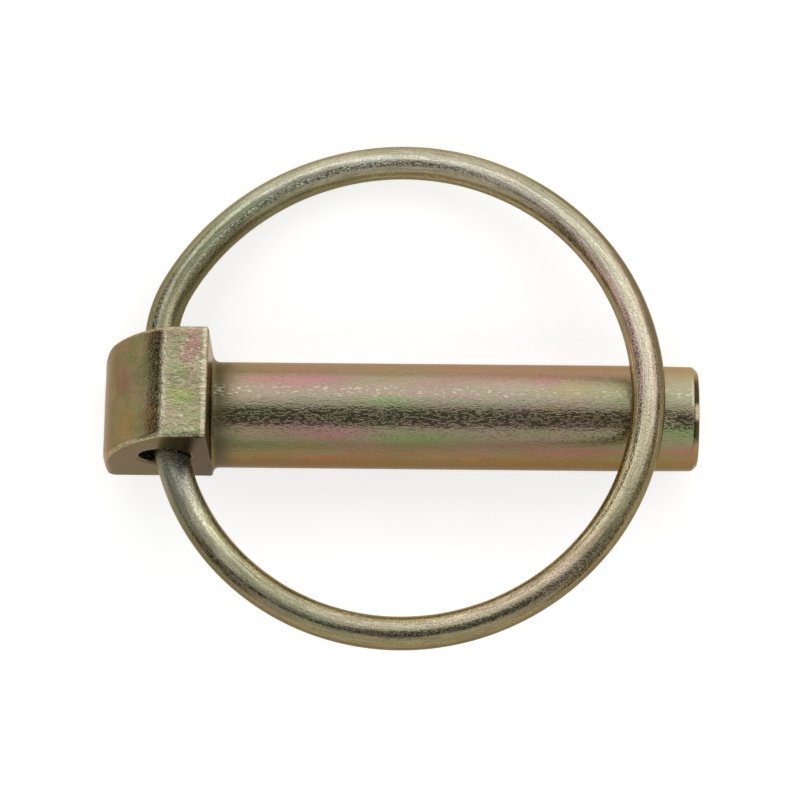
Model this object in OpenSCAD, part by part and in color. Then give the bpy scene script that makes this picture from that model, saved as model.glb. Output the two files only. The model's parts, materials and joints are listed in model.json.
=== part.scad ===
// Lynch pin: a forged pin with an offset head, and a sprung wire ring hinged
// through the head that closes over the pin's tip.
//
// The pin is drawn from its shoulder: X along the shank towards the tip, Y along
// the hinge, Z towards the head's front. It is then rolled about X, so that it
// lies on the shank and on one side of the ring, as it comes to rest on a table.
// The finished part's origin is on the shank's axis, in the middle of the grip.

/* [Shank] */
// Diameter of the plain shank
shank_d = 10; // [8:0.25:10.5]
// Shoulder to the start of the tapered tip: what the closed ring leaves free
grip_len = 38.9; // [30:0.1:60]
// Length of the tapered tip that reaches under and past the ring
tip_len = 6.8; // [5:0.1:12]
// Radius that the tip loses along its taper
tip_taper = 0.07; // [0.02:0.01:0.3]
// Chamfer on the tip's end
tip_chamfer = 0.55; // [0.2:0.05:1]
// Fillet between the shank and the shoulder
root_fillet = 0.6; // [0.3:0.05:1]

/* [Head] */
// Shoulder to the domed end
head_len = 10.4; // [9.5:0.1:14]
// Shank axis to the head's front face
head_front = 10.15; // [8:0.05:11]
// Thickness across the two flat sides
head_t = 10.8; // [10.6:0.05:13]
// Shank axis to the back corners
back_corner = 2.75; // [2:0.05:4]
// How far the middle of the head's back lies inside the shank's surface
back_step = 0.4; // [0.2:0.05:0.8]
// Radius of the domed end, seen from the side
nose_r = 12.2; // [12:0.1:20]
// How far the dome's centre lies behind the shank axis
nose_drop = 0.5; // [0:0.1:1.5]
// Radius of the domed end's two corners, seen from the front
end_corner_r = 1.2; // [0.5:0.1:3]
// Width of the broken edges round the front face
edge_break = 0.3; // [0.1:0.05:0.8]

/* [Hinge] */
// Shoulder back to the hinge axis
hinge_back = 4.2; // [3.6:0.05:5.5]
// Shank axis up to the hinge axis
hinge_rise = 3.5; // [2:0.1:5]
// Distance of each wire end from the hinge axis, one on either side of it
end_offset = 0.7; // [0.3:0.05:1]
// Radial play of the turning wire ends in the cross bore
bore_play = 0.1; // [0.05:0.025:0.3]
// Countersink at the cross bore's two mouths
mouth_chamfer = 0.2; // [0.1:0.05:0.7]

/* [Ring] */
// Diameter of the spring wire
wire_d = 3.15; // [2:0.05:4]
// Room along the shank between the grip's end and the closed ring
ring_room = 0.35; // [0.2:0.05:2]
// Gap between the closed ring and the top of the shank
ring_gap = 0.15; // [0.05:0.05:0.5]
// How much the sprung upper half is bowed beyond a plain half circle
ring_swell = 0.77; // [0.6:0.01:1.2]
// How far outside its mouth the upper wire end runs square to the shank
end_run = 0.5; // [0.2:0.1:1.5]
// Gap between the two wire ends inside the bore
end_gap = 2; // [1:0.25:4]

/* [Hidden] */
$fn = 96;

// How far cutting shapes run past what they cut
overrun = 1;

shank_r = shank_d / 2;
wire_r = wire_d / 2;

// Head: half its thickness, the back's shallow arc and the dome's centre
head_half = head_t / 2;
head_back = shank_r - back_step;
back_sag = head_back - back_corner;
back_r = (head_half ^ 2 + back_sag ^ 2) / (2 * back_sag);
nose_x = nose_r - head_len;

// Bore: wide enough for both offset wire ends to turn about its axis
bore_r = end_offset + wire_r + bore_play;

// Lengths along the ring are kept to a micrometre, so that its arcs meet exactly
microns_per_mm = 1000;
function to_micron(length) = round(length * microns_per_mm) / microns_per_mm;

// Ring: it reaches from the hinge over the shank, just past the grip
ring_run = hinge_back + grip_len + ring_room + wire_r;
ring_lift = shank_r + ring_gap + wire_r - hinge_rise;
ring_reach = to_micron(sqrt(ring_run ^ 2 + ring_lift ^ 2));
ring_tilt = atan2(ring_lift, ring_run);

// Lower half: one arc from inside the bore, through its mouth, to the far side
lower_run = ring_reach - end_offset;
lower_r = to_micron((lower_run ^ 2 + head_half ^ 2) / (2 * lower_run));
lower_sweep = 180 - asin(end_gap / 2 / lower_r);

// Upper half: a wider arc, then a tighter bend that is tangent to it and runs
// through the other mouth into the bore
upper_mean = (ring_reach + end_offset) / 2;
upper_r = to_micron(upper_mean + ring_swell);
bend_rise = head_half + end_run;
bend_r = to_micron(upper_mean - bend_rise ^ 2 / (4 * ring_swell));
bend_out = asin(bend_rise / (upper_r - bend_r));
bend_in = asin((bend_rise - end_gap / 2) / bend_r);

// Roll about the shank at which the shank and the ring's upper half both touch
// the ground: the positive root of a quadratic in the roll's cosine
ring_height = hinge_rise + (ring_reach - upper_r) * sin(ring_tilt);
roll_a = ring_height ^ 2 + (upper_r * cos(ring_tilt)) ^ 2;
roll_b = ring_height * (shank_r - wire_r);
roll_c = (shank_r - wire_r) ^ 2 - upper_r ^ 2;
roll = acos((sqrt(roll_b ^ 2 - roll_a * roll_c) - roll_b) / roll_a);

// Brings what is drawn from the shoulder to where it lies at rest
module lying() {
    rotate([-roll, 0, 0])
        translate([-grip_len / 2, 0, 0])
            children();
}

// Turns a shape revolved about Z so that it runs along the shank
module along_shank() {
    rotate([0, 90, 0])
        children();
}

// The head seen from its side: front face, domed end and shoulder
module side_outline() {
    intersection() {
        translate([nose_x, -nose_drop])
            circle(nose_r);
        polygon([
            [0, -shank_r],
            [0, head_front - edge_break],
            [-edge_break, head_front],
            [-head_len, head_front],
            [-head_len, -shank_r]
        ]);
    }
}

// The head seen along the shank: flat sides and a shallow round back
module end_outline() {
    polygon([
        [edge_break - head_half, head_front],
        [head_half - edge_break, head_front],
        [head_half, head_front - edge_break],
        [head_half, -back_corner],
        [-head_half, -back_corner],
        [-head_half, head_front - edge_break]
    ]);
    intersection() {
        translate([0, back_r - head_back])
            circle(back_r);
        translate([-head_half, -shank_r])
            square([head_t, shank_r]);
    }
}

// The head seen from its front: square at the shoulder, rounded at the end
module front_outline() {
    corner_x = end_corner_r - head_len;
    corner_y = head_half - end_corner_r;
    translate([corner_x, -head_half])
        square([-corner_x, head_t]);
    translate([-head_len, -corner_y])
        square([head_len, 2 * corner_y]);
    for (side = [-1, 1])
        translate([corner_x, side * corner_y])
            circle(end_corner_r);
}

// The end outline stretched along the shank between two places
module end_prism(from_x, to_x) {
    translate([from_x, 0, 0])
        rotate([90, 0, 90])
            linear_extrude(to_x - from_x)
                end_outline();
}

module head() {
    intersection() {
        rotate([90, 0, 0])
            linear_extrude(head_t, center = true)
                side_outline();
        end_prism(-head_len, 0);
        translate([0, 0, -shank_r])
            linear_extrude(shank_r + head_front)
                front_outline();
    }
}

// Concave fillet at the shoulder, kept within the head's own outline
module shoulder_fillet() {
    intersection() {
        along_shank()
            rotate_extrude()
                difference() {
                    square([shank_r + root_fillet, root_fillet]);
                    translate([shank_r + root_fillet, root_fillet])
                        circle(root_fillet);
                }
        end_prism(0, root_fillet);
    }
}

// Plain round shank with a tapered, chamfered tip
module shank() {
    tip_start_r = shank_r - tip_taper;
    shank_len = grip_len + tip_len;
    along_shank()
        rotate_extrude()
            polygon([
                [0, 0],
                [head_back, 0],
                [shank_r, root_fillet],
                [shank_r, grip_len],
                [tip_start_r, shank_len - tip_chamfer],
                [tip_start_r - tip_chamfer, shank_len],
                [0, shank_len]
            ]);
}

// Cross bore for the ring's ends, countersunk at both mouths
module cross_bore() {
    bore_half = head_half + overrun;
    flare = mouth_chamfer + overrun;
    translate([-hinge_back, 0, hinge_rise])
        rotate([90, 0, 0]) {
            cylinder(h = 2 * bore_half, r = bore_r, center = true);
            for (side = [0, 1])
                mirror([0, 0, side])
                    translate([0, 0, head_half - mouth_chamfer])
                        cylinder(h = flare, r1 = bore_r, r2 = bore_r + flare);
        }
}

module pin() {
    color([0.66, 0.60, 0.38])
        lying()
            difference() {
                union() {
                    head();
                    shoulder_fillet();
                    shank();
                }
                cross_bore();
            }
}

// A bent length of the wire: part of a ring about Z, from X round towards Y
module wire_arc(arc_r, sweep) {
    rotate_extrude(angle = sweep)
        translate([arc_r, 0])
            circle(wire_r);
}

// The upper half: its wide arc and its bend start where they meet and run apart
module upper_half() {
    translate([ring_reach - upper_r, 0, 0])
        rotate([0, 0, 180 - bend_out]) {
            mirror([0, 1, 0])
                wire_arc(upper_r, 180);
            translate([upper_r - bend_r, 0, 0])
                wire_arc(bend_r, bend_out + bend_in);
        }
}

// The ring is drawn flat with the hinge axis on Y, then tilted up off the shank
module ring() {
    color([0.74, 0.68, 0.44])
        lying()
            translate([-hinge_back, 0, hinge_rise])
                rotate([0, -ring_tilt, 0]) {
                    mirror([0, 1, 0])
                        translate([ring_reach - lower_r, 0, 0])
                            wire_arc(lower_r, lower_sweep);
                    intersection() {
                        upper_half();
                        translate([-ring_reach, 0, -wire_d])
                            cube([3 * ring_reach, ring_reach, 2 * wire_d]);
                    }
                }
}

pin();
ring();
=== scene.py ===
"""Looks of the lynch pin: a forged pin and its sprung wire ring, zinc plated and yellow passivated.

The pin's surface is the zero level of one distance field, so that every forged edge is truly rounded.
The ring is one length of wire swept along its arcs. Sizes are in millimetres until a mesh is made.
"""

import json
import math
from typing import NamedTuple

import bpy
import numpy as np
from mathutils import Matrix, Vector, noise


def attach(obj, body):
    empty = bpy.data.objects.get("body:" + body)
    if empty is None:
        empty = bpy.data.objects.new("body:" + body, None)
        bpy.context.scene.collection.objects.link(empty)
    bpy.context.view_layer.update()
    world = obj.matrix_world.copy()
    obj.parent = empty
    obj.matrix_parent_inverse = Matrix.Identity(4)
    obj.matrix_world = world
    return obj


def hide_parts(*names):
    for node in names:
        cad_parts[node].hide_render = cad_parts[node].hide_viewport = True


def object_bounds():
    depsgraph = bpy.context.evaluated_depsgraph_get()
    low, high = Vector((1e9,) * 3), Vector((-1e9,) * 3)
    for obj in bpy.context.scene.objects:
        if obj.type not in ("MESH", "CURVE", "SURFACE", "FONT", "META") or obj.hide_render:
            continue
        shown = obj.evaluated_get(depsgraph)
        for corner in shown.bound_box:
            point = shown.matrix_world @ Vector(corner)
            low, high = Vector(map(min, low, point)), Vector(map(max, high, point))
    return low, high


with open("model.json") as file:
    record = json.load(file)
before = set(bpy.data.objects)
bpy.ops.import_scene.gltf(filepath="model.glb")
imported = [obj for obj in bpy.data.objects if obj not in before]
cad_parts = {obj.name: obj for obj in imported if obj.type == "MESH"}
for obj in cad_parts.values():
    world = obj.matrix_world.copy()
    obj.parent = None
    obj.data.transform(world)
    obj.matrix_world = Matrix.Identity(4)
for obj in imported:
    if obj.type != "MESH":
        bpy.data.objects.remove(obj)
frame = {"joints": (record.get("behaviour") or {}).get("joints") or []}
cad_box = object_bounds()

# The hinge between the pin and the ring
joint = frame["joints"][0]

MM = 0.001

# Attribute that holds each point's place on its own piece, in millimetres
OWN_PLACE = "own_place"

# Attribute that is 1 on the sharpest edges of the pin and 0 on its flat faces
EDGE = "edge"

# Shank
SHANK_R = 5.0
GRIP_LEN = 38.9
TIP_LEN = 6.8
TIP_TAPER = 0.07
TIP_CHAMFER = 0.55
ROOT_FILLET = 0.6
SHANK_LEN = GRIP_LEN + TIP_LEN
RIM_START = SHANK_LEN - TIP_CHAMFER

# Head
HEAD_LEN = 10.4
HEAD_FRONT = 10.15
HEAD_HALF = 5.4
HEAD_BACK = 4.6
BACK_CORNER = 2.75
NOSE_R = 12.2
NOSE_X = NOSE_R - HEAD_LEN
NOSE_DROP = 0.5
END_CORNER_R = 1.2

# Hinge and ring
HINGE_BACK = 4.2
HINGE_RISE = 3.5
BORE_R = 2.375
WIRE_R = 1.575
END_OFFSET = 0.7
END_GAP = 2.0
END_RUN = 0.5
RING_ROOM = 0.35
RING_GAP = 0.15
RING_SWELL = 0.77

# Radii of the softened edges, all inside the sharp form
FACE_EDGE_R = 0.28
SIDE_EDGE_R = 0.35
BACK_EDGE_R = 0.6
TIP_EDGE_R = 0.12
MOUTH_EDGE_R = 0.3

# Meshing
NET_STEP = 0.2
SLOPE_STEP = NET_STEP / 20
LEAST_STEEP = 0.1
WIRE_STEP = 0.2
WIRE_SIDES = 48

# Unevenness left by forging and drawing
FORGE_WAVE_LEN = 3.2
FORGE_WAVE_DEPTH = 0.035
FORGE_WAVE_SEED = 3
WIRE_WAVE_LEN = 2.4
WIRE_WAVE_DEPTH = 0.012
WIRE_WAVE_SEED = 11

# Direction in which a seed shifts the unevenness
SEED_SHIFT = (1.0, 0.37, 0.61)

# Length before the shoulder over which the head's unevenness fades out
HEAD_FADE = 1.0

# How far both surfaces stay inside the exact form, so that they keep within the facets of its mesh
SKIN = 0.005


def own_frames():
    """Matrices that bring the pin's own frame and the flat ring's frame to where they lie."""
    along = Vector((1, 0, 0))
    hinge_dir = -Vector(joint["axis"])
    front_dir = along.cross(hinge_dir)
    hinge = Vector(joint["pos_m"])
    pin_turn = Matrix((along, hinge_dir, front_dir)).transposed()
    shoulder = hinge + along * HINGE_BACK * MM - front_dir * HINGE_RISE * MM
    tilt = math.atan2(ring_lift(), ring_run())
    ring_along = along * math.cos(tilt) + front_dir * math.sin(tilt)
    ring_turn = Matrix((ring_along, hinge_dir, ring_along.cross(hinge_dir))).transposed()
    pin_frame = Matrix.Translation(shoulder) @ pin_turn.to_4x4()
    ring_frame = Matrix.Translation(hinge) @ ring_turn.to_4x4()
    return pin_frame, ring_frame


def ring_run():
    """How far the wire's middle line reaches from the hinge, along the shank."""
    return HINGE_BACK + GRIP_LEN + RING_ROOM + WIRE_R


def ring_lift():
    """How far the wire's middle line rises above the hinge there, so that it clears the shank."""
    return SHANK_R + RING_GAP + WIRE_R - HINGE_RISE


# The pin as a distance field


def both(a, b, radius):
    """What is inside both fields, with the edge between them rounded."""
    corner = np.hypot(np.maximum(a + radius, 0), np.maximum(b + radius, 0))
    return np.minimum(np.maximum(a, b), -radius) + corner


def either(a, b, radius):
    """What is inside either field, with a fillet of that radius where they meet."""
    corner = np.hypot(np.maximum(radius - a, 0), np.maximum(radius - b, 0))
    return np.maximum(np.minimum(a, b), radius) - corner


def back_field(y, z):
    """The head's shallow round back, which ends where its flat sides begin."""
    back_sag = HEAD_BACK - BACK_CORNER
    back_r = (HEAD_HALF ** 2 + back_sag ** 2) / (2 * back_sag)
    back_z = back_r - HEAD_BACK
    return np.where(z < back_z, np.hypot(y, z - back_z) - back_r, -back_r)


def head_field(x, y, z):
    sides = np.abs(y) - HEAD_HALF
    plan = both(-HEAD_LEN - x, sides, END_CORNER_R)
    dome = np.hypot(x - NOSE_X, z + NOSE_DROP) - NOSE_R
    shell = both(plan, dome, SIDE_EDGE_R)
    faces = both(z - HEAD_FRONT, x, FACE_EDGE_R)
    return both(both(shell, faces, FACE_EDGE_R), back_field(y, z), BACK_EDGE_R)


def shank_field(x, y, z):
    """The shank, which starts as thin as the head's back is deep."""
    across = np.hypot(y, z)
    flare = (SHANK_R - HEAD_BACK) * np.clip(x / ROOT_FILLET, 0, 1)
    taper = TIP_TAPER * np.clip((x - GRIP_LEN) / (TIP_LEN - TIP_CHAMFER), 0, 1)
    wall = across - HEAD_BACK - flare + taper
    chamfer = (across - SHANK_R + TIP_TAPER + x - RIM_START) / math.sqrt(2)
    tip = both(both(wall, chamfer, TIP_EDGE_R), x - SHANK_LEN, TIP_EDGE_R)
    return np.maximum(tip, -HEAD_LEN / 2 - x)


def root_field(head, x, y, z):
    """The fillet round the shank's root, kept within the head's outline."""
    stub = np.maximum(np.hypot(y, z) - SHANK_R, np.abs(x) - ROOT_FILLET)
    outline = np.maximum(np.abs(y) - HEAD_HALF, back_field(y, z))
    return np.maximum(either(head, stub, ROOT_FILLET), outline)


def pin_field(x, y, z):
    bore = np.hypot(x + HINGE_BACK, z - HINGE_RISE) - BORE_R
    head = head_field(x, y, z)
    solid = np.minimum(np.minimum(head, shank_field(x, y, z)), root_field(head, x, y, z))
    return both(solid, -bore, MOUTH_EDGE_R)


def gradient(field, points):
    """Direction in which the field grows, by central differences."""
    slope = np.empty_like(points)
    for axis in range(3):
        ahead = points.copy()
        behind = points.copy()
        ahead[:, axis] += SLOPE_STEP
        behind[:, axis] -= SLOPE_STEP
        slope[:, axis] = (field(*ahead.T) - field(*behind.T)) / (2 * SLOPE_STEP)
    return slope


def surface_net(field, low, high):
    """Points and quads of the field's zero level: one point in each grid cell that it crosses."""
    ticks = [np.arange(low[axis], high[axis] + NET_STEP, NET_STEP) for axis in range(3)]
    values = field(*np.meshgrid(*ticks, indexing="ij"))
    inside = values < 0
    cells = np.array(values.shape) - 1
    total = np.zeros((*cells, 3))
    count = np.zeros(cells)
    edges = []
    for axis in range(3):
        near = [slice(None)] * 3
        far = [slice(None)] * 3
        near[axis] = slice(None, -1)
        far[axis] = slice(1, None)
        crossed = np.argwhere(inside[tuple(near)] != inside[tuple(far)])
        ahead = crossed.copy()
        ahead[:, axis] += 1
        start = values[tuple(crossed.T)]
        share = start / (start - values[tuple(ahead.T)])
        place = crossed.astype(float)
        place[:, axis] += share
        first, second = (axis + 1) % 3, (axis + 2) % 3
        round_edge = []
        for step_first, step_second in ((0, 0), (-1, 0), (-1, -1), (0, -1)):
            cell = crossed.copy()
            cell[:, first] += step_first
            cell[:, second] += step_second
            np.add.at(total, tuple(cell.T), place)
            np.add.at(count, tuple(cell.T), 1)
            round_edge.append(cell)
        edges.append((np.stack(round_edge, axis=1), start < 0))
    used = count > 0
    number = np.full(cells, -1)
    number[used] = np.arange(used.sum())
    points = np.array(low) + NET_STEP * total[used] / count[used][:, None]
    quads = []
    for round_edge, leaving in edges:
        quad = number[tuple(np.moveaxis(round_edge, 2, 0))]
        quads.append(np.where(leaving[:, None], quad, quad[:, ::-1]))
    return points, np.concatenate(quads)


def sharpness(field, points, radius):
    """How sharply the surface bends outwards at each point, as a share of that edge radius."""
    here = field(*points.T)
    total = np.zeros(len(points))
    for axis in range(3):
        for side in (-radius, radius):
            beside = points.copy()
            beside[:, axis] += side
            total += field(*beside.T) - here
    return np.clip(total / radius, 0, 1)


def onto_surface(field, points, passes=3):
    """The points moved along the field's slope until they lie on its zero level."""
    for _ in range(passes):
        slope = gradient(field, points)
        steep = np.maximum((slope ** 2).sum(axis=1), LEAST_STEEP)
        points = points - slope * (field(*points.T) / steep)[:, None]
    return points


def waves(points, wave_len, seed):
    """Smooth random unevenness between about -1 and 1 at each point."""
    shift = Vector([seed * part for part in SEED_SHIFT])
    return np.array([noise.noise(Vector(point) / wave_len + shift) for point in points])


def mesh_object(name, points, faces, placed, own):
    """A smooth piece at the origin, which keeps its own coordinates for its material."""
    turn = np.array(placed.to_3x3())
    row_points = points * MM @ turn.T + np.array(placed.translation)
    mesh = bpy.data.meshes.new(name)
    mesh.from_pydata(row_points.tolist(), [], faces)
    mesh.polygons.foreach_set("use_smooth", [True] * len(mesh.polygons))
    attribute = mesh.attributes.new(OWN_PLACE, "FLOAT_VECTOR", "POINT")
    attribute.data.foreach_set("vector", own.astype(np.float32).ravel())
    mesh.update()
    piece = bpy.data.objects.new(name, mesh)
    bpy.context.scene.collection.objects.link(piece)
    return piece


def make_pin(placed):
    margin = 2 * NET_STEP
    low = (-HEAD_LEN - margin, -HEAD_HALF - margin, -SHANK_R - margin)
    high = (SHANK_LEN + margin, HEAD_HALF + margin, HEAD_FRONT + margin)
    points, quads = surface_net(pin_field, low, high)
    points = onto_surface(pin_field, points)
    normals = gradient(pin_field, points)
    normals /= np.linalg.norm(normals, axis=1)[:, None]
    on_head = np.clip(-points[:, 0] / HEAD_FADE, 0, 1)
    uneven = waves(points, FORGE_WAVE_LEN, FORGE_WAVE_SEED)
    depth = FORGE_WAVE_DEPTH * on_head * (uneven - 1) / 2 - SKIN
    edge = sharpness(pin_field, points, FACE_EDGE_R)
    points = points + normals * depth[:, None]
    pin = mesh_object("forged_pin", points, quads.tolist(), placed, points)
    pin.data.materials.append(forged_material())
    attribute = pin.data.attributes.new(EDGE, "FLOAT", "POINT")
    attribute.data.foreach_set("value", edge.astype(np.float32))
    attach(pin, "pin")
    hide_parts("pin")


# The ring as a swept wire


def arc(centre_x, centre_y, radius, start, end):
    """Points along an arc, the outward direction at each, and no repeat of its end."""
    steps = round((end - start) * radius / WIRE_STEP)
    angles = np.linspace(start, end, steps, endpoint=False)
    outward = np.stack([np.cos(angles), np.sin(angles)], axis=1)
    return np.array([centre_x, centre_y]) + radius * outward, outward


def wire_route():
    """The wire's middle line in the flat ring's frame, from its lower end round to its upper end."""
    reach = math.hypot(ring_run(), ring_lift())
    lower_run = reach - END_OFFSET
    lower_r = (lower_run ** 2 + HEAD_HALF ** 2) / (2 * lower_run)
    lower_sweep = math.pi - math.asin(END_GAP / 2 / lower_r)
    upper_mean = (reach + END_OFFSET) / 2
    upper_r = upper_mean + RING_SWELL
    rise = HEAD_HALF + END_RUN
    bend_r = upper_mean - rise ** 2 / (4 * RING_SWELL)
    bend_out = math.asin(rise / (upper_r - bend_r))
    bend_in = math.asin((rise - END_GAP / 2) / bend_r)
    turn = math.pi - bend_out
    bend_x = reach - upper_r + (upper_r - bend_r) * math.cos(turn)
    bend_y = (upper_r - bend_r) * math.sin(turn)
    stretches = [
        arc(reach - lower_r, 0, lower_r, -lower_sweep, 0),
        arc(reach - upper_r, 0, upper_r, 0, turn),
        arc(bend_x, bend_y, bend_r, turn, math.pi + bend_in),
    ]
    middle = np.concatenate([stretch[0] for stretch in stretches])
    outward = np.concatenate([stretch[1] for stretch in stretches])
    return middle, outward


def make_ring(placed):
    middle, outward = wire_route()
    rings = len(middle)
    around = np.linspace(0, 2 * math.pi, WIRE_SIDES, endpoint=False)
    across = np.einsum("ri,s->rsi", outward, np.cos(around))
    up = np.broadcast_to(np.sin(around), (rings, WIRE_SIDES))
    normals = np.concatenate([across, up[:, :, None]], axis=2).reshape(-1, 3)
    centre = np.repeat(np.column_stack([middle, np.zeros(rings)]), WIRE_SIDES, axis=0)
    points = centre + WIRE_R * normals
    depth = WIRE_WAVE_DEPTH * (waves(points, WIRE_WAVE_LEN, WIRE_WAVE_SEED) - 1) / 2 - SKIN
    points = points + normals * depth[:, None]
    faces = []
    for ring in range(rings - 1):
        for side in range(WIRE_SIDES):
            here = ring * WIRE_SIDES
            after = (side + 1) % WIRE_SIDES
            faces.append((here + side, here + side + WIRE_SIDES, here + after + WIRE_SIDES, here + after))
    faces.append(tuple(range(WIRE_SIDES)))
    faces.append(tuple(range(rings * WIRE_SIDES - 1, (rings - 1) * WIRE_SIDES - 1, -1)))
    steps = np.linalg.norm(np.diff(middle, axis=0, prepend=middle[:1]), axis=1)
    along = np.repeat(np.cumsum(steps), WIRE_SIDES)
    side_x = WIRE_R * np.tile(np.cos(around), rings)
    side_y = WIRE_R * np.tile(np.sin(around), rings)
    piece = mesh_object("wire_ring", points, faces, placed, np.column_stack([along, side_x, side_y]))
    piece.data.materials.append(wire_material(along.max()))
    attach(piece, "ring")
    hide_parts("ring")


# Materials

# The film: how it bends and blurs light, what it does to slanted light, and its tint on each piece
FILM_IOR = 1.1
FILM_ROUGHNESS = 0.25
EDGE_TINT = (0.75, 0.64, 0.46)
FORGED_FILM = (0.82, 0.68, 0.46)
WIRE_FILM = (0.90, 0.85, 0.68)

# Zinc under the film, by region
FACE_ZINC = (0.42, 0.48, 0.45)
DOME_ZINC = (0.30, 0.32, 0.29)
# Painted shade: the side of the head that shows is darker
SIDE_PAINTED_SHADE_ZINC = (0.17, 0.195, 0.17)
# Painted shadow on that side, deepest towards the shoulder
SIDE_PAINTED_SHADOW_ZINC = (0.055, 0.06, 0.045)
# Pale lip on the edges: wear and painted highlight
LIP_WEAR_AND_HIGHLIGHT_ZINC = (0.62, 0.68, 0.74)
# Painted shade on the tip's chamfer
TIP_RIM_PAINTED_SHADE_ZINC = (0.05, 0.055, 0.04)
TIP_END_ZINC = (0.42, 0.42, 0.38)
WIRE_END_ZINC = (0.38, 0.40, 0.40)
# Painted shade at the shank's root
ROOT_PAINTED_SHADE_ZINC = (0.20, 0.21, 0.17)
DULL_ZINC = (0.15, 0.15, 0.12)
# Pale specks, and the colour of the painted highlights and glints
FLECK_AND_HIGHLIGHT_ZINC = (0.75, 0.82, 0.88)

# Zinc round the wire, from the ring's middle plane to its crowns, where it is paler as a painted highlight
WIRE_ZINC_AND_CROWN_HIGHLIGHT = [
    (0.05, (0.20, 0.18, 0.13)),
    (0.45, (0.31, 0.29, 0.21)),
    (0.78, (0.42, 0.40, 0.31)),
    (0.96, (0.68, 0.69, 0.68)),
]

# Slow shifts of the wire's film from its lower end, round the far side, to its upper end
ALONG_WIRE = [
    (0.06, (0.88, 0.91, 0.88)),
    (0.15, (0.72, 0.71, 0.67)),
    (0.25, (0.76, 0.72, 0.67)),
    (0.34, (0.80, 0.73, 0.68)),
    (0.43, (0.92, 0.84, 0.78)),
    (0.54, (1.08, 1.02, 1.06)),
    (0.66, (0.96, 0.99, 1.00)),
    (0.76, (0.98, 1.05, 1.07)),
    (0.84, (0.88, 0.96, 0.96)),
    (0.91, (0.64, 0.68, 0.60)),
    (0.97, (0.56, 0.60, 0.52)),
]

# Streaks left on the wire by drawing
WIRE_STREAKS = [
    (0.36, (0.80, 0.76, 0.72)),
    (0.64, (1.12, 1.12, 1.14)),
]

# Zinc round the shank, from the side that lies lowest in the picture to the highest: film colours with
# painted light and shade, darker and browner low down and paler high up
SHANK_ZINC_AND_PAINTED_SHADING = [
    (0.00, (0.29, 0.24, 0.16)),
    (0.10, (0.33, 0.26, 0.19)),
    (0.18, (0.39, 0.33, 0.29)),
    (0.26, (0.41, 0.40, 0.39)),
    (0.33, (0.37, 0.39, 0.39)),
    (0.41, (0.42, 0.41, 0.43)),
    (0.52, (0.35, 0.36, 0.36)),
    (0.66, (0.38, 0.41, 0.47)),
    (0.76, (0.41, 0.43, 0.52)),
    (0.86, (0.53, 0.52, 0.64)),
    (0.95, (0.55, 0.51, 0.56)),
]

# Slow shifts of the film's colour along the shank, from its root to its tip
ALONG_SHANK = [
    (0.06, (0.98, 1.00, 0.90)),
    (0.20, (1.03, 0.97, 1.00)),
    (0.38, (0.97, 1.02, 0.95)),
    (0.55, (1.04, 0.98, 1.02)),
    (0.75, (1.00, 1.00, 0.96)),
    (0.88, (0.92, 1.04, 0.88)),
    (0.98, (1.03, 1.16, 1.00)),
]

# Shifts of the film's colour in patches: brown, pink, plain, green, plain, pink
FILM_PATCHES = [
    (0.30, (1.06, 0.86, 0.70)),
    (0.41, (1.12, 0.90, 1.00)),
    (0.49, (1.00, 1.00, 0.95)),
    (0.57, (0.86, 1.04, 0.74)),
    (0.66, (0.98, 1.02, 0.90)),
    (0.75, (1.14, 0.88, 1.02)),
]

# Tints of the film's larger spots, and tints that paint light and shade onto spots
PINK = (1.22, 0.78, 1.06)
GREEN = (0.82, 1.10, 0.78)
OLIVE = (0.88, 1.02, 0.78)
YELLOW = (1.08, 1.06, 0.66)
BLUSH = (1.14, 0.86, 1.04)
OCHRE = (1.24, 0.94, 0.62)
CHALK = (1.15, 1.02, 1.15)
# The next three tints brighten as painted light, the three after them darken as painted shade
PAINTED_ROSE_LIGHT_TINT = (1.60, 1.25, 1.45)
PAINTED_GLEAM_TINT = (2.40, 2.35, 2.40)
PAINTED_LIGHT_TINT = (1.70, 1.70, 1.65)
PAINTED_HALF_SHADE_TINT = (0.60, 0.60, 0.52)
PAINTED_SHADE_TINT = (0.35, 0.35, 0.25)
PAINTED_DEEP_SHADE_TINT = (0.15, 0.15, 0.08)

# Spots on the head: place along the shank and along the hinge, reach both ways, tint
HEAD_SPOTS = [
    (-1.5, 4.1, 1.0, 1.5, PINK),
    (-3.0, 1.0, 1.3, 0.8, GREEN),
    (-2.3, -1.3, 1.5, 1.0, YELLOW),
    (-3.4, -4.0, 1.0, 1.1, CHALK),
    (-1.0, -3.8, 0.9, 1.2, OLIVE),
    (-8.2, 0.8, 1.1, 2.2, PINK),
    (-7.0, 3.4, 1.3, 2.0, GREEN),
    (-7.6, -3.2, 1.7, 1.6, OCHRE),
    (-5.2, 2.6, 0.9, 2.4, OLIVE),
    (-5.2, -3.6, 0.9, 1.8, OCHRE),
    (-1.7, 3.0, 1.1, 1.6, PINK),
    (-2.4, -2.0, 1.2, 0.9, GREEN),
    (-9.8, -2.5, 0.7, 2.2, GREEN),
    (-6.2, 4.8, 1.6, 0.9, OLIVE),
    (-9.6, 3.0, 0.8, 1.6, OLIVE),
]

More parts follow.
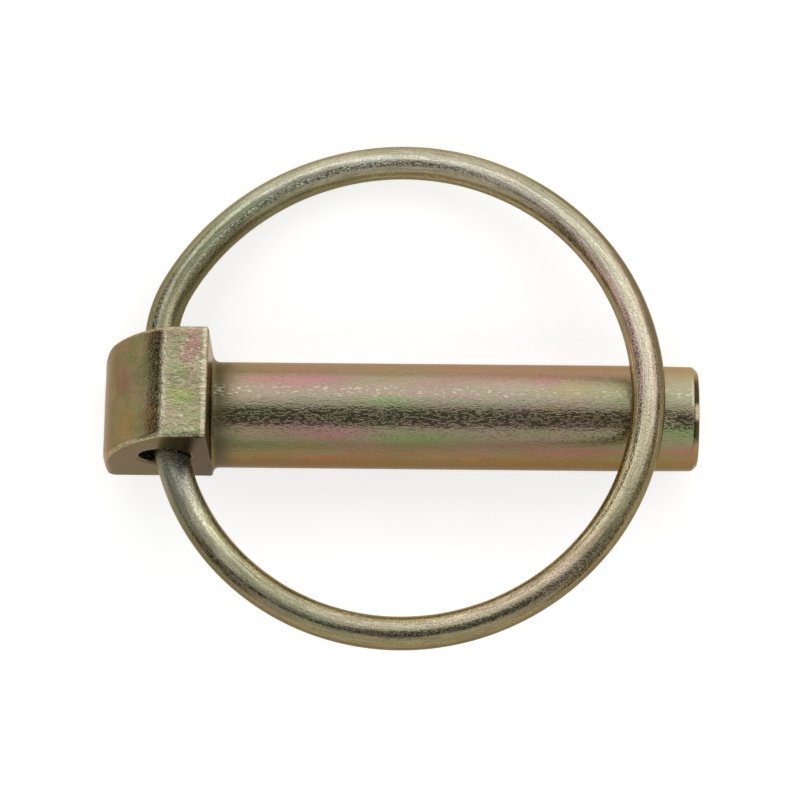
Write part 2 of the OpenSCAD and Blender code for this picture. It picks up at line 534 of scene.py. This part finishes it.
# Spots on the shank: place along it and across the picture, reach both ways, tint; one of them is painted
# light
SHANK_SPOTS = [
    (7.5, 3.5, 7.0, 1.0, BLUSH),
    (16.9, 1.5, 1.8, 0.6, GREEN),
    (9.1, -1.3, 6.0, 0.8, PINK),
    (6.3, -2.6, 5.0, 0.7, GREEN),
    (19.5, -1.9, 4.5, 0.8, GREEN),
    (12.4, -4.0, 5.5, 0.5, PINK),
    (34.0, 2.9, 2.0, 0.9, YELLOW),
    (31.3, 3.6, 1.6, 0.7, PINK),
    (37.7, 2.2, 2.6, 2.0, OLIVE),
    (34.2, -2.9, 5.0, 0.8, PINK),
    (26.1, -4.1, 3.5, 0.6, YELLOW),
    (44.0, -3.0, 2.4, 0.9, PINK),
    (43.8, -0.8, 1.8, 1.1, GREEN),
    # Painted light on the shank beside the ring
    (42.4, 0.0, 1.4, 0.8, PAINTED_GLEAM_TINT),
    (40.0, -4.3, 5.0, 0.6, YELLOW),
]

# Spots of painted light and shade on the wire: place along it, degrees round it outwards from its upper
# crown, reach both ways, tint
WIRE_SPOTS = [
    (11.0, -19.0, 7.0, 0.4, PAINTED_LIGHT_TINT),
    (13.0, 45.0, 8.0, 1.2, PAINTED_SHADE_TINT),
    (20.0, -3.0, 10.0, 0.7, PAINTED_HALF_SHADE_TINT),
    (34.0, 22.0, 18.0, 0.3, PAINTED_DEEP_SHADE_TINT),
    (36.0, 56.0, 24.0, 0.5, PAINTED_LIGHT_TINT),
    (38.0, -64.0, 30.0, 1.0, PAINTED_GLEAM_TINT),
    (58.0, -22.0, 8.0, 0.4, PAINTED_LIGHT_TINT),
    (58.0, 12.0, 9.0, 0.8, PAINTED_HALF_SHADE_TINT),
    (78.0, 54.0, 15.0, 0.65, PAINTED_DEEP_SHADE_TINT),
    (80.0, -31.0, 13.0, 0.4, PAINTED_ROSE_LIGHT_TINT),
    (99.0, -62.0, 18.0, 0.5, PAINTED_LIGHT_TINT),
    (99.0, 16.0, 18.0, 0.38, PAINTED_HALF_SHADE_TINT),
    (125.0, -7.0, 14.0, 0.3, PAINTED_DEEP_SHADE_TINT),
    (127.0, -30.0, 14.0, 0.6, PAINTED_LIGHT_TINT),
]


class Texture(NamedTuple):
    """A noise: how fine it is along its piece, as a share of how fine it is across, and its detail."""

    along_share: float
    per_mm: float
    detail: float = 3.0
    roughness: float = 0.55
    distortion: float = 0.0


def patch_texture(along_share, per_mm):
    return Texture(along_share, per_mm, detail=3.0, roughness=0.6, distortion=0.8)


# Middle of what a noise gives
NOISE_MIDDLE = 0.5

# Noises of the forged pin
FORGED_GRAIN = Texture(0.5, 7.5, detail=0.0)
FORGED_PITS = Texture(0.28, 6.5, detail=1.0, roughness=0.5)
SHANK_LINES = Texture(0.06, 4.0, detail=2.0, roughness=0.5)
LUMPS = Texture(0.7, 2.2, detail=4.0, roughness=0.6)
SPECKS = Texture(0.8, 2.4, detail=4.0, roughness=0.65, distortion=0.6)
DULL_AREAS = Texture(1.0, 0.45, detail=4.0, roughness=0.6)
BAND_WANDER = Texture(0.4, 0.3, detail=2.0)

# Noises of the wire
WIRE_LINES = Texture(0.05, 5.0, detail=3.0, roughness=0.6)
WIRE_GRAIN = Texture(0.5, 6.0, detail=2.0, roughness=0.5)
WIRE_PITS = Texture(0.8, 6.0, detail=1.0, roughness=0.5)

# Noises that make the spots' outlines ragged
HEAD_RAGGED = Texture(1.0, 0.8)
SHANK_RAGGED = Texture(0.25, 0.9)
WIRE_RAGGED = Texture(0.2, 1.4)

# The film's patches on each region, and how strongly they show there
HEAD_PATCHES = patch_texture(1.0, 0.24)
SIDE_PATCHES = patch_texture(1.0, 0.4)
END_PATCHES = patch_texture(1.0, 0.3)
SHANK_PATCHES = patch_texture(0.14, 0.5)
WIRE_PATCHES = patch_texture(0.12, 0.45)
HEAD_PATCH_SHARE = 0.7
SIDE_PATCH_SHARE = 0.6
END_PATCH_SHARE = 0.6
SHANK_PATCH_SHARE = 0.5
WIRE_PATCH_SHARE = 0.3

# Where the dome ends and the front face begins, along the shank
FACE_START = NOSE_X - math.sqrt(NOSE_R ** 2 - (HEAD_FRONT + NOSE_DROP) ** 2)

# Places round the shank run from 0 at the lowest side in the picture to 1 at the highest
SHANK_MIDDLE = 0.5

# Two or four numbers in brackets below are a span: from where to where a value is eased, and between which
# two results, where these are not 0 and 1

# How ragged a spot's outline is, and how its share falls with the scaled distance from its middle
SPOT_RAGGED = 2.0
SPOT_FADE = (0.3, 1.4, 0.6, 0.0)

# Regions of the pin: the shank, the front face, that face with its rounded edges, and the side that shows
SHANK_RISE = (-0.1, 0.5)
FACE_RISE = (HEAD_FRONT - 0.3, HEAD_FRONT - 0.1)
FRONT_RISE = (HEAD_FRONT - 0.35, HEAD_FRONT - 0.15)
SIDE_RISE = (0.3 - HEAD_HALF, 0.05 - HEAD_HALF)

# Colour of the head, with painted shade on its side that shows, and painted shade at the shank's root
DULL_SHARE = (0.4, 0.68, 0.0, 0.4)
# Where the painted shadow on the side that shows deepens, towards the shoulder
SIDE_PAINTED_SHADOW_RISE = (-3.6, -1.4)
# Over which the painted shade at the shank's root fades out
ROOT_PAINTED_SHADE_FALL = (0.2, 3.4, 1.0, 0.0)
BAND_WANDER_SHARE = 0.16

# The pale lip, partly wear and partly painted highlight: on sharp edges, broken by specks, but not at the
# shoulder or at the bore
LIP_RISE = (0.25, 0.7, 0.0, 0.85)
LIP_BROKEN = (0.35, 0.6, 0.3, 1.0)
LIP_FALL = (-1.6, -0.4, 1.0, 0.0)
LIP_OFF_BORE = (BORE_R + 0.3, BORE_R + 0.6)

# Bright flecks, partly pale specks and partly painted highlight: on the front face, with more of them along
# its long edges as painted highlight, and painted glints along the shank's pale line, where the lamps
# reflect
FACE_FLECKS_AND_HIGHLIGHTS = (0.52, 0.74, 0.0, 0.8)
FACE_EDGE_HIGHLIGHTS = (0.1, 0.4, 0.24, 0.0)
SHANK_PAINTED_GLINTS = (0.5, 0.66, 0.0, 0.7)
PALE_LINE_LOW = (0.66, 0.74)
PALE_LINE_HIGH = (0.84, 0.76)

# The tip: its flat end, its chamfer painted dark as shade, a painted glint on that, and a painted highlight
# along the edge beside it
TIP_END_RISE = (SHANK_LEN - 0.1, SHANK_LEN - 0.03)
TIP_RIM_RISE = (RIM_START - 0.05, RIM_START + 0.1, 0.0, 0.95)
RIM_PAINTED_SHADE_LOW = (0.24, 0.36)
RIM_PAINTED_SHADE_HIGH = (0.94, 0.84)
RIM_GLINT_MIDDLE = 0.58
RIM_GLINT_FALL = (0.04, 0.1, 1.0, 0.0)
EDGE_HIGHLIGHT_MIDDLE = RIM_START - 0.08
EDGE_HIGHLIGHT_FALL = (0.06, 0.16, 0.8, 0.0)
EDGE_HIGHLIGHT_LOW = (0.60, 0.68)

# Roughness of the pin: its lumps, and what its side, root and flanks add
LUMP_ROUGHNESS = (0.3, 0.7, 0.11, 0.16)
SIDE_ROUGHER = 0.18
ROOT_ROUGH_FALL = (0.6, 2.4, 1.0, 0.0)
ROOT_ROUGHER = 0.25
FLANK_MIDDLE = 0.48
FLANK_RISE = (0.12, 0.24)
FLANK_ROUGHER = 0.2

# Bumps of the pin: depths in millimetres, and how much weaker some are elsewhere
LUMP_DEPTH = 0.105
LUMPS_BY_FACE = (0.0, 1.0, 0.15, 1.0)
SHANK_LINE_DEPTH = 0.012
FORGED_PIT_RISE = (0.52, 0.62)
FORGED_PIT_DEPTH = 0.014
GRAIN_BY_SHANK = (0.0, 1.0, 0.6, 1.0)
FORGED_GRAIN_DEPTH = 0.012

# The wire: unevenness of its crown's zinc, the duller lower end, roughness, and bumps in millimetres
CROWN_UNEVEN = 0.3
WIRE_END_FALL = (6.0, 14.0, 1.0, 0.0)
WIRE_END_ROUGHER = 0.1
WIRE_ROUGHNESS = (0.35, 0.7, 0.15, 0.24)
WIRE_LINE_DEPTH = 0.013
WIRE_PIT_RISE = (0.5, 0.62)
WIRE_PIT_DEPTH = 0.022
WIRE_GRAIN_DEPTH = 0.008


class Nodes:
    """A material's node tree, with short calls for the nodes used here."""

    # Numbers of a colour mix's sockets, whose names it shares with mixes of other types
    MIX_FIRST = 6
    MIX_SECOND = 7
    MIX_RESULT = 2

    def __init__(self, name):
        self.material = bpy.data.materials.new(name)
        self.material.use_nodes = True
        self.tree = self.material.node_tree
        self.tree.nodes.clear()

    def add(self, kind, **settings):
        node = self.tree.nodes.new(kind)
        for name, value in settings.items():
            setattr(node, name, value)
        return node

    def put(self, socket, value):
        if isinstance(value, bpy.types.NodeSocket):
            self.tree.links.new(value, socket)
        else:
            socket.default_value = value

    def math(self, operation, *values):
        node = self.add("ShaderNodeMath", operation=operation)
        for socket, value in zip(node.inputs, values):
            self.put(socket, value)
        return node.outputs[0]

    def times(self, product, *factors):
        for factor in factors:
            product = self.math("MULTIPLY", product, factor)
        return product

    def plus(self, value, share, amount):
        """The value and that share of an amount."""
        return self.math("MULTIPLY_ADD", share, amount, value)

    def away(self, value, middle):
        """How far a number is from the middle, on either side."""
        return self.math("ABSOLUTE", self.math("SUBTRACT", value, middle))

    def scaled(self, vector, scale):
        node = self.add("ShaderNodeVectorMath", operation="MULTIPLY")
        self.put(node.inputs[0], vector)
        node.inputs[1].default_value = scale
        return node.outputs[0]

    def dot(self, vector, direction):
        node = self.add("ShaderNodeVectorMath", operation="DOT_PRODUCT")
        self.put(node.inputs[0], vector)
        node.inputs[1].default_value = direction
        return node.outputs["Value"]

    def far(self, vector, middle, scale):
        """How far the vector is from the middle, once each axis is scaled."""
        offset = self.add("ShaderNodeVectorMath", operation="SUBTRACT")
        self.put(offset.inputs[0], vector)
        offset.inputs[1].default_value = middle
        length = self.add("ShaderNodeVectorMath", operation="LENGTH")
        self.put(length.inputs[0], self.scaled(offset.outputs[0], scale))
        return length.outputs["Value"]

    def noise(self, vector, texture):
        node = self.add("ShaderNodeTexNoise")
        self.put(node.inputs["Vector"], self.scaled(vector, (texture.along_share, 1.0, 1.0)))
        node.inputs["Scale"].default_value = texture.per_mm
        node.inputs["Detail"].default_value = texture.detail
        node.inputs["Roughness"].default_value = texture.roughness
        node.inputs["Distortion"].default_value = texture.distortion
        return node.outputs["Fac"]

    def span(self, value, low, high, to_low=0.0, to_high=1.0):
        """The value's place between low and high, eased, as a number between the last two."""
        node = self.add("ShaderNodeMapRange", interpolation_type="SMOOTHSTEP")
        self.put(node.inputs["Value"], value)
        node.inputs["From Min"].default_value = low
        node.inputs["From Max"].default_value = high
        node.inputs["To Min"].default_value = to_low
        node.inputs["To Max"].default_value = to_high
        return node.outputs["Result"]

    def ramp(self, value, stops):
        node = self.add("ShaderNodeValToRGB")
        self.put(node.inputs["Fac"], value)
        elements = node.color_ramp.elements
        while len(elements) < len(stops):
            elements.new(1.0)
        for element, (place, colour) in zip(elements, stops):
            element.position = place
            element.color = (*colour, 1.0)
        return node.outputs["Color"]

    def mix(self, share, first, second, blend="MIX"):
        node = self.add("ShaderNodeMix", data_type="RGBA", blend_type=blend)
        self.put(node.inputs["Factor"], share)
        for number, value in ((self.MIX_FIRST, first), (self.MIX_SECOND, second)):
            linked = isinstance(value, bpy.types.NodeSocket)
            self.put(node.inputs[number], value if linked else (*value, 1.0))
        return node.outputs[self.MIX_RESULT]

    def tint(self, share, colour, tint):
        """The colour, multiplied by the tint as far as the share says."""
        return self.mix(share, colour, tint, "MULTIPLY")

    def patches(self, share, colour, place, texture):
        """The colour with the film's patches on it."""
        return self.tint(share, colour, self.ramp(self.noise(place, texture), FILM_PATCHES))

    def spots(self, colour, place, texture, rows):
        """The colour with soft, ragged spots on it, each from a row with its middle, reach and tint."""
        ragged = self.plus(-NOISE_MIDDLE * SPOT_RAGGED, self.noise(place, texture), SPOT_RAGGED)
        for middle, reach, tint in rows:
            distance = self.far(place, middle, [1 / side for side in reach])
            share = self.span(self.math("ADD", distance, ragged), *SPOT_FADE)
            colour = self.tint(share, colour, tint)
        return colour

    def bump(self, height, depth_mm, under=None):
        node = self.add("ShaderNodeBump")
        node.inputs["Distance"].default_value = depth_mm * MM
        self.put(node.inputs["Height"], height)
        if under is not None:
            self.put(node.inputs["Normal"], under)
        return node.outputs["Normal"]

    def metal(self, colour, film, roughness, normal):
        """Zinc under a thin yellow film, which takes more of the light that crosses it at a slant."""
        shader = self.add("ShaderNodeBsdfPrincipled")
        shader.inputs["Metallic"].default_value = 1.0
        shader.inputs["Specular Tint"].default_value = (*EDGE_TINT, 1.0)
        shader.inputs["Coat Weight"].default_value = 1.0
        shader.inputs["Coat Roughness"].default_value = FILM_ROUGHNESS
        shader.inputs["Coat IOR"].default_value = FILM_IOR
        shader.inputs["Coat Tint"].default_value = (*film, 1.0)
        self.put(shader.inputs["Base Color"], colour)
        self.put(shader.inputs["Roughness"], roughness)
        self.put(shader.inputs["Normal"], normal)
        output = self.add("ShaderNodeOutputMaterial")
        self.tree.links.new(shader.outputs["BSDF"], output.inputs["Surface"])

    def own_place(self):
        """Where a point is on its piece, as a vector and as three numbers, in millimetres."""
        vector = self.add("ShaderNodeAttribute", attribute_name=OWN_PLACE).outputs["Vector"]
        parts = self.add("ShaderNodeSeparateXYZ")
        self.put(parts.inputs[0], vector)
        return vector, parts.outputs


def head_spots():
    """Rows of the head's spots, each with its middle on the dome or on the front face."""
    for along, over, reach_along, reach_over, tint in HEAD_SPOTS:
        dome = math.sqrt(NOSE_R ** 2 - (along - NOSE_X) ** 2) - NOSE_DROP
        middle = (along, over, min(dome, HEAD_FRONT))
        yield middle, (reach_along, reach_over, reach_along), tint


def shank_spots():
    """Rows of the shank's spots, each with its middle on the upper half as the pin lies."""
    _, axis_y, axis_z = joint["axis"]
    for along, across, reach_along, reach_across, tint in SHANK_SPOTS:
        rise = math.sqrt(SHANK_R ** 2 - across ** 2)
        middle = (along, -across * axis_y - rise * axis_z, across * axis_z - rise * axis_y)
        yield middle, (reach_along, reach_across, reach_across), tint


def wire_spots():
    """Rows of the wire's spots of painted light and shade, each with its middle on the wire's surface."""
    for along, degrees, reach_along, reach_round, tint in WIRE_SPOTS:
        turn = math.radians(degrees)
        middle = (along, WIRE_R * math.sin(turn), WIRE_R * math.cos(turn))
        yield middle, (reach_along, reach_round, reach_round), tint


def shank_colour(nodes, place, parts, round_shank):
    """Bands of film round the shank that wander a little along it, with painted light and shade in them,
    its larger spots and painted shade at its root.
    """
    wander = nodes.math("SUBTRACT", nodes.noise(place, BAND_WANDER), NOISE_MIDDLE)
    # Film colours and painted light and shade, by height round the shank
    zinc = nodes.ramp(nodes.plus(round_shank, wander, BAND_WANDER_SHARE), SHANK_ZINC_AND_PAINTED_SHADING)
    zinc = nodes.patches(SHANK_PATCH_SHARE, zinc, place, SHANK_PATCHES)
    along = nodes.math("DIVIDE", parts["X"], SHANK_LEN)
    zinc = nodes.tint(1.0, zinc, nodes.ramp(along, ALONG_SHANK))
    zinc = nodes.spots(zinc, place, SHANK_RAGGED, shank_spots())
    # Painted shade: the shank darkens towards its root, where it meets the head
    return nodes.mix(nodes.span(parts["X"], *ROOT_PAINTED_SHADE_FALL), zinc, ROOT_PAINTED_SHADE_ZINC)


def head_colour(nodes, place, parts, on_face, on_side):
    """Patches and spots of film on the head, dull areas, and the side that shows painted darker as shade,
    darker still towards the shoulder as painted shadow.
    """
    zinc = nodes.mix(on_face, DOME_ZINC, FACE_ZINC)
    zinc = nodes.patches(HEAD_PATCH_SHARE, zinc, place, HEAD_PATCHES)
    zinc = nodes.spots(zinc, place, HEAD_RAGGED, head_spots())
    dull = nodes.span(nodes.noise(place, DULL_AREAS), *DULL_SHARE)
    zinc = nodes.mix(dull, zinc, DULL_ZINC)
    side = nodes.patches(SIDE_PATCH_SHARE, SIDE_PAINTED_SHADE_ZINC, place, SIDE_PATCHES)
    # Painted shade on the side that shows, with painted shadow towards the shoulder
    side = nodes.mix(nodes.span(parts["X"], *SIDE_PAINTED_SHADOW_RISE), side, SIDE_PAINTED_SHADOW_ZINC)
    return nodes.mix(on_side, zinc, side)


def lip_wear_and_highlight_share(nodes, place, parts, specks):
    """How much of the pale lip, wear with a painted highlight, shows on the head's edges."""
    edge = nodes.add("ShaderNodeAttribute", attribute_name=EDGE).outputs["Fac"]
    from_hinge = nodes.far(place, (-HINGE_BACK, 0.0, HINGE_RISE), (1.0, 0.0, 1.0))
    return nodes.times(
        nodes.span(edge, *LIP_RISE),
        nodes.span(specks, *LIP_BROKEN),
        nodes.span(parts["X"], *LIP_FALL),
        nodes.span(from_hinge, *LIP_OFF_BORE),
    )


def face_flecks_and_highlights(nodes, parts, specks):
    """How much of the bright flecks, partly painted highlight, shows on the front face and on the rounded
    edges beside it.
    """
    near_front = nodes.span(parts["Z"], *FRONT_RISE)
    from_dome = nodes.away(parts["X"], FACE_START)
    from_shoulder = nodes.away(parts["X"], -FACE_EDGE_R)
    from_edge = nodes.math("MINIMUM", from_dome, from_shoulder)
    more = nodes.times(nodes.span(from_edge, *FACE_EDGE_HIGHLIGHTS), near_front)
    flecks = nodes.span(nodes.math("ADD", specks, more), *FACE_FLECKS_AND_HIGHLIGHTS)
    return nodes.times(flecks, near_front)


def shank_painted_glints(nodes, on_shank, round_shank, pits):
    """How much of the painted glints shows along the shank's pale line."""
    return nodes.times(
        nodes.span(round_shank, *PALE_LINE_LOW),
        nodes.span(round_shank, *PALE_LINE_HIGH),
        on_shank,
        nodes.span(pits, *SHANK_PAINTED_GLINTS),
    )


def tip_colour(nodes, place, parts, round_shank, zinc):
    """The zinc with the tip's flat end, its chamfer painted dark as shade, and a painted glint and edge
    highlight added.
    """
    on_end = nodes.span(parts["X"], *TIP_END_RISE)
    zinc = nodes.mix(on_end, zinc, nodes.patches(END_PATCH_SHARE, TIP_END_ZINC, place, END_PATCHES))
    off_end = nodes.math("SUBTRACT", 1.0, on_end)
    on_rim = nodes.times(nodes.span(parts["X"], *TIP_RIM_RISE), off_end)
    # Painted shade on the chamfer away from its top, a painted highlight along the edge, and a painted
    # glint on the chamfer
    not_top = nodes.span(round_shank, *RIM_PAINTED_SHADE_HIGH)
    dark = nodes.times(on_rim, nodes.span(round_shank, *RIM_PAINTED_SHADE_LOW), not_top)
    zinc = nodes.mix(dark, zinc, TIP_RIM_PAINTED_SHADE_ZINC)
    near_edge = nodes.span(nodes.away(parts["X"], EDGE_HIGHLIGHT_MIDDLE), *EDGE_HIGHLIGHT_FALL)
    edge_highlight = nodes.times(near_edge, not_top, nodes.span(round_shank, *EDGE_HIGHLIGHT_LOW))
    zinc = nodes.mix(edge_highlight, zinc, FLECK_AND_HIGHLIGHT_ZINC)
    near_glint = nodes.span(nodes.away(round_shank, RIM_GLINT_MIDDLE), *RIM_GLINT_FALL)
    return nodes.mix(nodes.times(on_rim, near_glint), zinc, FLECK_AND_HIGHLIGHT_ZINC)


def forged_roughness(nodes, parts, on_shank, on_side, round_shank, lumps):
    at_root = nodes.times(nodes.span(parts["X"], *ROOT_ROUGH_FALL), on_shank)
    on_flanks = nodes.times(nodes.span(nodes.away(round_shank, FLANK_MIDDLE), *FLANK_RISE), on_shank)
    rough = nodes.span(lumps, *LUMP_ROUGHNESS)
    rough = nodes.plus(rough, on_side, SIDE_ROUGHER)
    rough = nodes.plus(rough, at_root, ROOT_ROUGHER)
    return nodes.plus(rough, on_flanks, FLANK_ROUGHER)


def forged_bumps(nodes, place, on_face, on_shank, lumps, pits):
    """Lumps on the face, fine lines along the shank, and pits and grain all over."""
    lines = nodes.noise(place, SHANK_LINES)
    grain = nodes.noise(place, FORGED_GRAIN)
    coarse = nodes.bump(nodes.times(lumps, nodes.span(on_face, *LUMPS_BY_FACE)), LUMP_DEPTH)
    drawn = nodes.bump(nodes.times(lines, on_shank), SHANK_LINE_DEPTH, coarse)
    pitted = nodes.bump(nodes.span(pits, *FORGED_PIT_RISE), FORGED_PIT_DEPTH, drawn)
    return nodes.bump(nodes.times(grain, nodes.span(on_shank, *GRAIN_BY_SHANK)), FORGED_GRAIN_DEPTH, pitted)


def forged_material():
    nodes = Nodes("zinc_forged")
    place, parts = nodes.own_place()
    _, axis_y, axis_z = joint["axis"]
    on_shank = nodes.span(parts["X"], *SHANK_RISE)
    on_face = nodes.span(parts["Z"], *FACE_RISE)
    on_side = nodes.span(parts["Y"], *SIDE_RISE)
    across = nodes.dot(place, (0.0, -axis_y, axis_z))
    round_shank = nodes.plus(SHANK_MIDDLE, across, SHANK_MIDDLE / SHANK_R)
    pits = nodes.noise(place, FORGED_PITS)
    lumps = nodes.noise(place, LUMPS)
    specks = nodes.noise(place, SPECKS)

    head = head_colour(nodes, place, parts, on_face, on_side)
    shank = shank_colour(nodes, place, parts, round_shank)
    zinc = nodes.mix(on_shank, head, shank)
    # Pale lip: wear and painted highlight
    zinc = nodes.mix(lip_wear_and_highlight_share(nodes, place, parts, specks), zinc, LIP_WEAR_AND_HIGHLIGHT_ZINC)
    on_face_fleck_and_highlight = face_flecks_and_highlights(nodes, parts, specks)
    on_shank_glint = shank_painted_glints(nodes, on_shank, round_shank, pits)
    # Bright flecks, with painted highlights on the face's edges and painted glints on the shank
    zinc = nodes.mix(nodes.math("MAXIMUM", on_face_fleck_and_highlight, on_shank_glint), zinc, FLECK_AND_HIGHLIGHT_ZINC)
    zinc = tip_colour(nodes, place, parts, round_shank, zinc)

    rough = forged_roughness(nodes, parts, on_shank, on_side, round_shank, lumps)
    bumps = forged_bumps(nodes, place, on_face, on_shank, lumps, pits)
    nodes.metal(zinc, FORGED_FILM, rough, bumps)
    return nodes.material


def wire_material(wire_len):
    nodes = Nodes("zinc_wire")
    place, parts = nodes.own_place()
    lines = nodes.noise(place, WIRE_LINES)
    grain = nodes.noise(place, WIRE_GRAIN)
    pits = nodes.noise(place, WIRE_PITS)
    near_end = nodes.span(parts["X"], *WIRE_END_FALL)

    crown = nodes.math("DIVIDE", nodes.math("ABSOLUTE", parts["Z"]), WIRE_R)
    uneven = nodes.plus(crown, nodes.math("SUBTRACT", grain, NOISE_MIDDLE), CROWN_UNEVEN)
    # Zinc round the wire, paler at the crowns as a painted highlight
    zinc = nodes.ramp(uneven, WIRE_ZINC_AND_CROWN_HIGHLIGHT)
    zinc = nodes.patches(WIRE_PATCH_SHARE, zinc, place, WIRE_PATCHES)
    zinc = nodes.tint(1.0, zinc, nodes.ramp(lines, WIRE_STREAKS))
    along = nodes.math("DIVIDE", parts["X"], wire_len)
    zinc = nodes.tint(1.0, zinc, nodes.ramp(along, ALONG_WIRE))
    zinc = nodes.mix(near_end, zinc, WIRE_END_ZINC)
    # Painted light and shade in spots along the wire
    zinc = nodes.spots(zinc, place, WIRE_RAGGED, wire_spots())

    rough = nodes.plus(nodes.span(grain, *WIRE_ROUGHNESS), near_end, WIRE_END_ROUGHER)
    drawn = nodes.bump(lines, WIRE_LINE_DEPTH)
    pitted = nodes.bump(nodes.span(pits, *WIRE_PIT_RISE), WIRE_PIT_DEPTH, drawn)
    fine = nodes.bump(grain, WIRE_GRAIN_DEPTH, pitted)
    nodes.metal(zinc, WIRE_FILM, rough, fine)
    return nodes.material


# Stage

FLOOR_HALF = 4.0
FLOOR_GLOW = 0.66
FLOOR_WHITE = 0.7

# Light of the world at the horizon and above it, and the heights between which it changes
HORIZON_LIGHT = 1.0
SKY_LIGHT = 0.13
SKY_RISE = (0.05, 0.09)

# Soft boxes: name, degrees from +X towards +Y, degrees from straight up, width, height, radiance
LAMPS = [
    ("key_wide", 76, 51, 1.1, 0.78, 0.52),
    ("key_mid", 80, 56, 1.05, 0.68, 0.40),
    ("key_low", 84, 64, 1.0, 0.50, 0.28),
    ("core", 84, 50, 0.55, 0.1, 0.4),
    ("back", 152, 37, 0.36, 0.36, 0.45),
    ("fill", -96, 53, 1.3, 0.74, 0.65),
    ("left", 177, 66, 0.2, 0.2, 0.65),
    ("right", 8, 58, 0.5, 0.5, 0.18),
]
LAMP_DISTANCE = 0.6

CAMERA_PLACE_MM = (5.015, 12.549, 391.487)
CAMERA_TURN_DEG = (-1.5991, 1.0144, 0.5018)
CAMERA_LENS = 186.55
CAMERA_SENSOR = 36.0
CAMERA_NEAR = 0.01
CAMERA_FAR = 20.0


def make_floor():
    """A floor that looks white to the camera and in the metal, and lights the part as pale paint does."""
    bottom = cad_box[0].z
    mesh = bpy.data.meshes.new("floor")
    corners = [(x * FLOOR_HALF, y * FLOOR_HALF, bottom) for x, y in ((-1, -1), (1, -1), (1, 1), (-1, 1))]
    mesh.from_pydata(corners, [], [(0, 1, 2, 3)])
    floor = bpy.data.objects.new("floor", mesh)
    bpy.context.scene.collection.objects.link(floor)
    nodes = Nodes("floor_white")
    path = nodes.add("ShaderNodeLightPath")
    seen = nodes.math("MAXIMUM", path.outputs["Is Camera Ray"], path.outputs["Is Glossy Ray"])
    seen = nodes.math("MAXIMUM", seen, path.outputs["Is Transmission Ray"])
    glow = nodes.add("ShaderNodeEmission")
    nodes.put(glow.inputs["Strength"], nodes.math("MULTIPLY", seen, FLOOR_GLOW))
    paint = nodes.add("ShaderNodeBsdfDiffuse")
    paint.inputs["Color"].default_value = (FLOOR_WHITE, FLOOR_WHITE, FLOOR_WHITE, 1.0)
    total = nodes.add("ShaderNodeAddShader")
    nodes.put(total.inputs[0], glow.outputs[0])
    nodes.put(total.inputs[1], paint.outputs[0])
    output = nodes.add("ShaderNodeOutputMaterial")
    nodes.put(output.inputs["Surface"], total.outputs[0])
    mesh.materials.append(nodes.material)


def make_world():
    """White at the horizon, dim above it, so that metal keeps its dark reflections."""
    world = bpy.data.worlds.new("studio")
    bpy.context.scene.world = world
    world.use_nodes = True
    tree = world.node_tree
    background = tree.nodes["Background"]
    direction = tree.nodes.new("ShaderNodeTexCoord")
    parts = tree.nodes.new("ShaderNodeSeparateXYZ")
    tree.links.new(direction.outputs["Generated"], parts.inputs[0])
    height = tree.nodes.new("ShaderNodeMapRange")
    height.interpolation_type = "SMOOTHSTEP"
    height.inputs["From Min"].default_value, height.inputs["From Max"].default_value = SKY_RISE
    height.inputs["To Min"].default_value = HORIZON_LIGHT
    height.inputs["To Max"].default_value = SKY_LIGHT
    tree.links.new(parts.outputs["Z"], height.inputs["Value"])
    tree.links.new(height.outputs["Result"], background.inputs["Strength"])
    background.inputs["Color"].default_value = (1.0, 1.0, 1.0, 1.0)


def make_lamp(name, azimuth, from_zenith, width, height, radiance):
    """A soft box that faces the part."""
    lamp = bpy.data.lights.new(name, "AREA")
    lamp.shape = "RECTANGLE"
    lamp.size = width
    lamp.size_y = height
    lamp.energy = radiance * math.pi * width * height
    box = bpy.data.objects.new(name, lamp)
    turn = math.radians(azimuth)
    lean = math.radians(from_zenith)
    place = Vector((math.sin(lean) * math.cos(turn), math.sin(lean) * math.sin(turn), math.cos(lean)))
    box.location = place * LAMP_DISTANCE
    box.rotation_euler = (-place).to_track_quat("-Z", "Y").to_euler()
    bpy.context.scene.collection.objects.link(box)


def make_camera():
    data = bpy.data.cameras.new("camera")
    data.lens = CAMERA_LENS
    data.sensor_width = CAMERA_SENSOR
    data.clip_start = CAMERA_NEAR
    data.clip_end = CAMERA_FAR
    camera = bpy.data.objects.new("camera", data)
    camera.location = Vector(CAMERA_PLACE_MM) * MM
    camera.rotation_euler = [math.radians(angle) for angle in CAMERA_TURN_DEG]
    bpy.context.scene.collection.objects.link(camera)
    bpy.context.scene.camera = camera


bpy.context.scene.view_settings.view_transform = "Standard"
pin_frame, ring_frame = own_frames()
make_camera()
make_world()
for lamp_row in LAMPS:
    make_lamp(*lamp_row)
make_floor()
make_pin(pin_frame)
make_ring(ring_frame)
